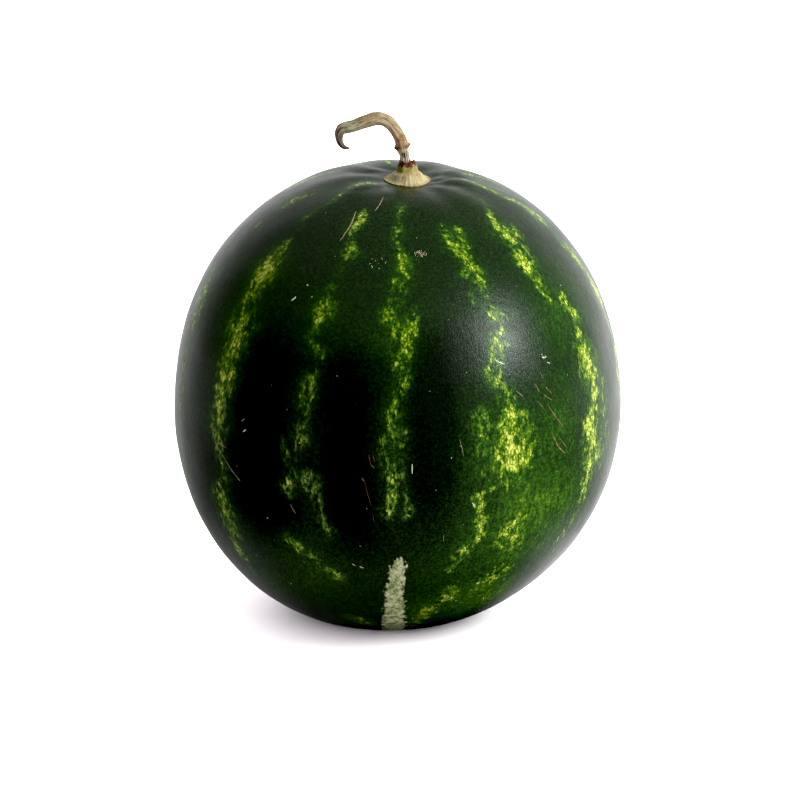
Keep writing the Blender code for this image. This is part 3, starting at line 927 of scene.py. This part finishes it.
def add_mark(sweep, half_width, tone, points, number, total):
    """A tapered strand half sunk into the skin. Its UV square is one of enough for them all."""
    path = smooth_route(points, 4)
    middle = waved_skin(path[:, 0], path[:, 1])
    outward = middle - np.array([0.0, 0.0, WIDEST_HEIGHT])
    outward /= np.linalg.norm(outward, axis=1, keepdims=True)
    ahead = np.gradient(middle, axis=0)
    across = np.cross(outward, ahead)
    across /= np.linalg.norm(across, axis=1, keepdims=True)
    angles = np.arange(THIN_AROUND) * 2 * math.pi / THIN_AROUND
    taper = 0.25 + 0.75 * np.sin(np.linspace(0.15, math.pi - 0.15, len(path))) ** 0.7
    wide = (0.001 * half_width * taper)[:, None, None]
    thick = MARK_THICKNESS * taper[:, None, None]
    rings = (middle[:, None] + np.cos(angles)[None, :, None] * across[:, None] * wide
             + np.sin(angles)[None, :, None] * outward[:, None] * thick)
    columns = math.ceil(math.sqrt(total))
    column, row = number % columns, number // columns
    strip = (column + STRIP_EDGE, row + STRIP_EDGE, column + 1 - STRIP_EDGE, row + 1 - STRIP_EDGE)
    sweep.add_rings(rings, tuple(value / columns for value in strip), tone=tone)


def scar_material():
    g = material_graph("scar")
    fleck = g.noise(g.object_place(), 700.0, 3.0, 0.6)
    tone = g.math("ADD", g.attribute("tone"), g.spread(fleck, -0.2, 0.2))
    skin = g.ramp(tone, [
        (0.1, 0.13, 0.055, 0.025), (0.35, 0.28, 0.19, 0.09), (0.6, 0.42, 0.38, 0.24),
        (0.95, 0.75, 0.76, 0.66)])
    return g.finish(Base_Color=skin, Roughness=g.spread(fleck, 0.6, 0.8),
                    Normal=g.bump(fleck, 0.0001, 0.5))


def make_marks():
    """Thin raised scars, corky crumbs and loose specks that lie on the rind."""
    dice = random.Random(SEED)
    marks = [(half_width, tone, points) for half_width, tone, *points in SCARS]
    spots = []
    for longitude, down, radius, tone, crumbs in CORK_SPOTS:
        reach = math.degrees(0.001 * radius / FRUIT_RADIUS)
        for _ in range(crumbs):
            turn, far = dice.uniform(0, 2 * math.pi), reach * math.sqrt(dice.random())
            spots.append((longitude + far * math.cos(turn) / math.sin(math.radians(down)),
                          down + 0.7 * far * math.sin(turn), tone + dice.uniform(-0.2, 0.2)))
    for _ in range(LOOSE_SPECKS):
        down = math.degrees(math.acos(dice.uniform(-0.85, 0.9)))
        spots.append((dice.uniform(-180, 180), down, dice.uniform(0.3, 0.95)))
    for longitude, down, tone in spots:
        size = CRUMB_RADIUS * dice.uniform(0.45, 1.0)
        step = math.degrees(size / FRUIT_RADIUS)
        lean = dice.uniform(-1.0, 1.0) * step
        ends = [(longitude - lean, down - step), (longitude + lean, down + step)]
        marks.append((1000 * size, tone, ends))
    sweep = Sweep()
    for number, (half_width, tone, points) in enumerate(marks):
        add_mark(sweep, half_width, tone, points, number, len(marks))
    return sweep.build("skin_marks", scar_material())


# ---------------------------------------------------------------- stage, light and camera

BLACK_POINT = 0.0055  # darker tones are shown as black
VIEW_HEIGHT = 15.0  # degrees above the horizon
VIEW_DISTANCE = 3.2
VIEW_LENS = 257.0
LOOK_AT = Vector((0.0013, 0.0, WIDEST_HEIGHT + 0.0023))


def make_camera():
    data = bpy.data.cameras.new("camera")
    data.lens = VIEW_LENS
    camera = scene_object("camera", data)
    height = math.radians(VIEW_HEIGHT)
    back = Vector((0, -math.cos(height), math.sin(height)))
    camera.location = LOOK_AT + VIEW_DISTANCE * back
    camera.rotation_euler = back.to_track_quat("Z", "Y").to_euler()
    bpy.context.scene.camera = camera


# Brightness round the fruit, by share of a turn from the front towards +X: white behind and right,
# dark in front. The floor's painted reflection has its own where it is near, and where it is far.
WALL_TONES = [(0.0, 0.0), (0.3, 0.0), (0.335, 0.15), (0.37, 0.8), (0.46, 0.85), (0.52, 0.8),
              (0.565, 0.7), (0.61, 0.2), (0.64, 0.05), (0.67, 0.0), (1.0, 0.0)]
NEAR_FLOOR_TONES = [(0.0, 0.0), (0.15, 0.0), (0.2, 0.18), (0.25, 0.55), (0.31, 0.9), (0.5, 0.9),
                    (0.6, 0.42), (0.68, 0.2), (0.76, 0.12), (0.85, 0.02), (1.0, 0.0)]
FAR_FLOOR_TONES = [(0.0, 0.0), (0.24, 0.0), (0.28, 0.12), (0.32, 0.5), (0.37, 0.85), (0.5, 0.85),
                   (0.6, 0.4), (0.66, 0.14), (0.72, 0.03), (0.8, 0.0), (1.0, 0.0)]
WALL_GLOW = 1.6  # how bright a tone of 1 is
FLOOR_GLOW = 2.25
FLOOR_PAINTED_SHADOW = 0.045  # distances from the middle: up to here the floor's painted reflection is black, a painted shadow of the fruit
FLOOR_LIT = 0.06
FLOOR_NEAR = 0.12
FLOOR_FAR = 0.2


def room_tone(g, x, y, tones):
    """Brightness along x, y from the fruit."""
    turn = g.math("ARCTAN2", x, g.math("MULTIPLY", y, -1.0))
    turn = g.math("FRACT", g.math("DIVIDE", turn, 2 * math.pi))
    return g.grey_ramp(turn, tones)


def make_floor():
    bm = bmesh.new()
    bmesh.ops.create_grid(bm, x_segments=8, y_segments=8, size=6.0)
    mesh = finished_mesh(bm, "floor")
    g = material_graph("floor")
    place = g.object_place()
    tone = g.mix(g.noise(place, 1.5), colour(0.86, 0.86, 0.86), colour(0.9, 0.9, 0.9))
    g.finish(Base_Color=tone, Roughness=0.6, Specular_IOR_Level=0.2)
    shown = g.nodes["Principled BSDF"].outputs[0]
    # for diffuse rays it is a dark grey, so it throws little light back at the fruit; for glossy
    # rays it glows with painted tones of the room behind it, a painted reflection in the rind, with
    # a painted shadow of the fruit round the middle
    x, y = g.add("ShaderNodeSeparateXYZ", {0: place}).outputs[:2]
    away = g.math("SQRT", g.math("ADD", g.math("MULTIPLY", x, x), g.math("MULTIPLY", y, y)))
    near, far = room_tone(g, x, y, NEAR_FLOOR_TONES), room_tone(g, x, y, FAR_FLOOR_TONES)
    tones = g.mix(g.remap(away, FLOOR_NEAR, FLOOR_FAR), near, far)
    # painted shadow: the glow is nothing near the fruit and full from FLOOR_LIT out
    tone = g.math("MULTIPLY", tones, g.remap(away, FLOOR_PAINTED_SHADOW, FLOOR_LIT, 0.0, FLOOR_GLOW))
    glow = g.add("ShaderNodeEmission", {"Strength": tone}).outputs[0]
    dark = g.add("ShaderNodeBsdfDiffuse", {0: colour(0.3, 0.3, 0.3)}).outputs[0]
    ray = g.add("ShaderNodeLightPath").outputs
    shown = g.add("ShaderNodeMixShader", {0: ray["Is Diffuse Ray"], 1: shown, 2: dark}).outputs[0]
    shown = g.add("ShaderNodeMixShader", {0: ray["Is Glossy Ray"], 1: shown, 2: glow}).outputs[0]
    g.put(g.nodes["Material Output"].inputs["Surface"], shown)
    mesh.materials.append(g.owner)
    floor = scene_object("floor", mesh)
    return floor


WHITE = (1.0, 1.0, 1.0)
COOL = (0.9, 0.95, 1.0)


def aimed_light(name, azimuth, height, distance, size, power, tint=WHITE):
    """A soft panel facing the fruit, at an azimuth (0 in front, 90 at +X) and height in degrees."""
    turn, lift = math.radians(azimuth), math.radians(height)
    level = math.cos(lift)
    way = Vector((math.sin(turn) * level, -math.cos(turn) * level, math.sin(lift)))
    data = bpy.data.lights.new(name, "AREA")
    data.shape = "RECTANGLE"
    data.size, data.size_y = size
    data.energy = power
    data.color = tint
    panel = scene_object(name, data)
    panel.location = Vector((0, 0, WIDEST_HEIGHT)) + distance * way
    panel.rotation_euler = way.to_track_quat("Z", "Y").to_euler()
    panel.visible_camera = False
    return panel


def only_on(light, receivers):
    """The light falls on these objects alone."""
    group = bpy.data.collections.new(light.name + "_receivers")
    for obj in receivers:
        group.objects.link(obj)
    light.light_linking.receiver_collection = group


def floor_light(name, aim, angle, strength, tint, floor):
    """A soft sun that falls on the floor alone."""
    data = bpy.data.lights.new(name, "SUN")
    data.energy = strength
    data.angle = math.radians(angle)
    data.color = tint
    sun = scene_object(name, data)
    sun.rotation_euler = Vector(aim).to_track_quat("Z", "Y").to_euler()
    only_on(sun, [floor])


def make_surroundings():
    """White to the camera; for light, a bright room behind and to the right, dark in front."""
    world = bpy.data.worlds.new("studio")
    bpy.context.scene.world = world
    g = Graph(world)
    way = g.add("ShaderNodeTexCoord").outputs["Generated"]
    x, y, z = g.add("ShaderNodeSeparateXYZ", {0: way}).outputs
    fall = g.grey_ramp(g.remap(z, -1.0, 1.0), [
        (0.0, 0.6), (0.3, 1.0), (0.55, 1.0), (0.66, 0.7), (0.75, 0.45), (0.82, 0.25), (1.0, 0.05)])
    wall = g.math("MULTIPLY", room_tone(g, x, y, WALL_TONES), fall)
    wall = g.math("MULTIPLY", wall, WALL_GLOW)
    light = g.math("MAXIMUM", wall, g.remap(z, 0.35, 0.75, 0.002, 0.12))
    seen = g.add("ShaderNodeLightPath").outputs["Is Camera Ray"]
    sky = g.nodes["Background"].inputs
    g.put(sky["Color"], colour(*WHITE))
    g.put(sky["Strength"], g.math("MAXIMUM", seen, light))


def make_lights(floor, fruit_pieces):
    # the first two panels show as highlights, and the other two only light the skin
    panels = [
        aimed_light("softbox", 62, 28, 1.4, (0.48, 0.52), 7.4, COOL),
        aimed_light("lamp", 60, 21, 1.4, (0.12, 0.12), 1.5, COOL),
        aimed_light("key", 66, 28, 1.4, (0.5, 0.5), 17.0),
        aimed_light("overhead", -150, 62, 1.5, (1.4, 1.0), 12.0),
    ]
    for panel in panels:
        only_on(panel, fruit_pieces)
    for panel in panels[2:]:
        panel.visible_glossy = False
    floor_light("floor_fill", (0, 0, 1), 170, 8.5, (1.0, 0.93, 0.98), floor)
    floor_light("floor_key", (0.85, 0.0, 0.6), 45, 6.5, WHITE, floor)
    make_surroundings()
    view = bpy.context.scene.view_settings
    view.view_transform = "Standard"
    view.use_curve_mapping = True
    view.curve_mapping.black_level = (BLACK_POINT, BLACK_POINT, BLACK_POINT)


fruit = make_fruit()
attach(fruit, "root")
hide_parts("fruit")
stalk = make_stalk()
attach(stalk, "root")
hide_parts("stem")
marks = make_marks()
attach(marks, "root")
make_camera()
make_lights(make_floor(), [fruit, stalk, marks])
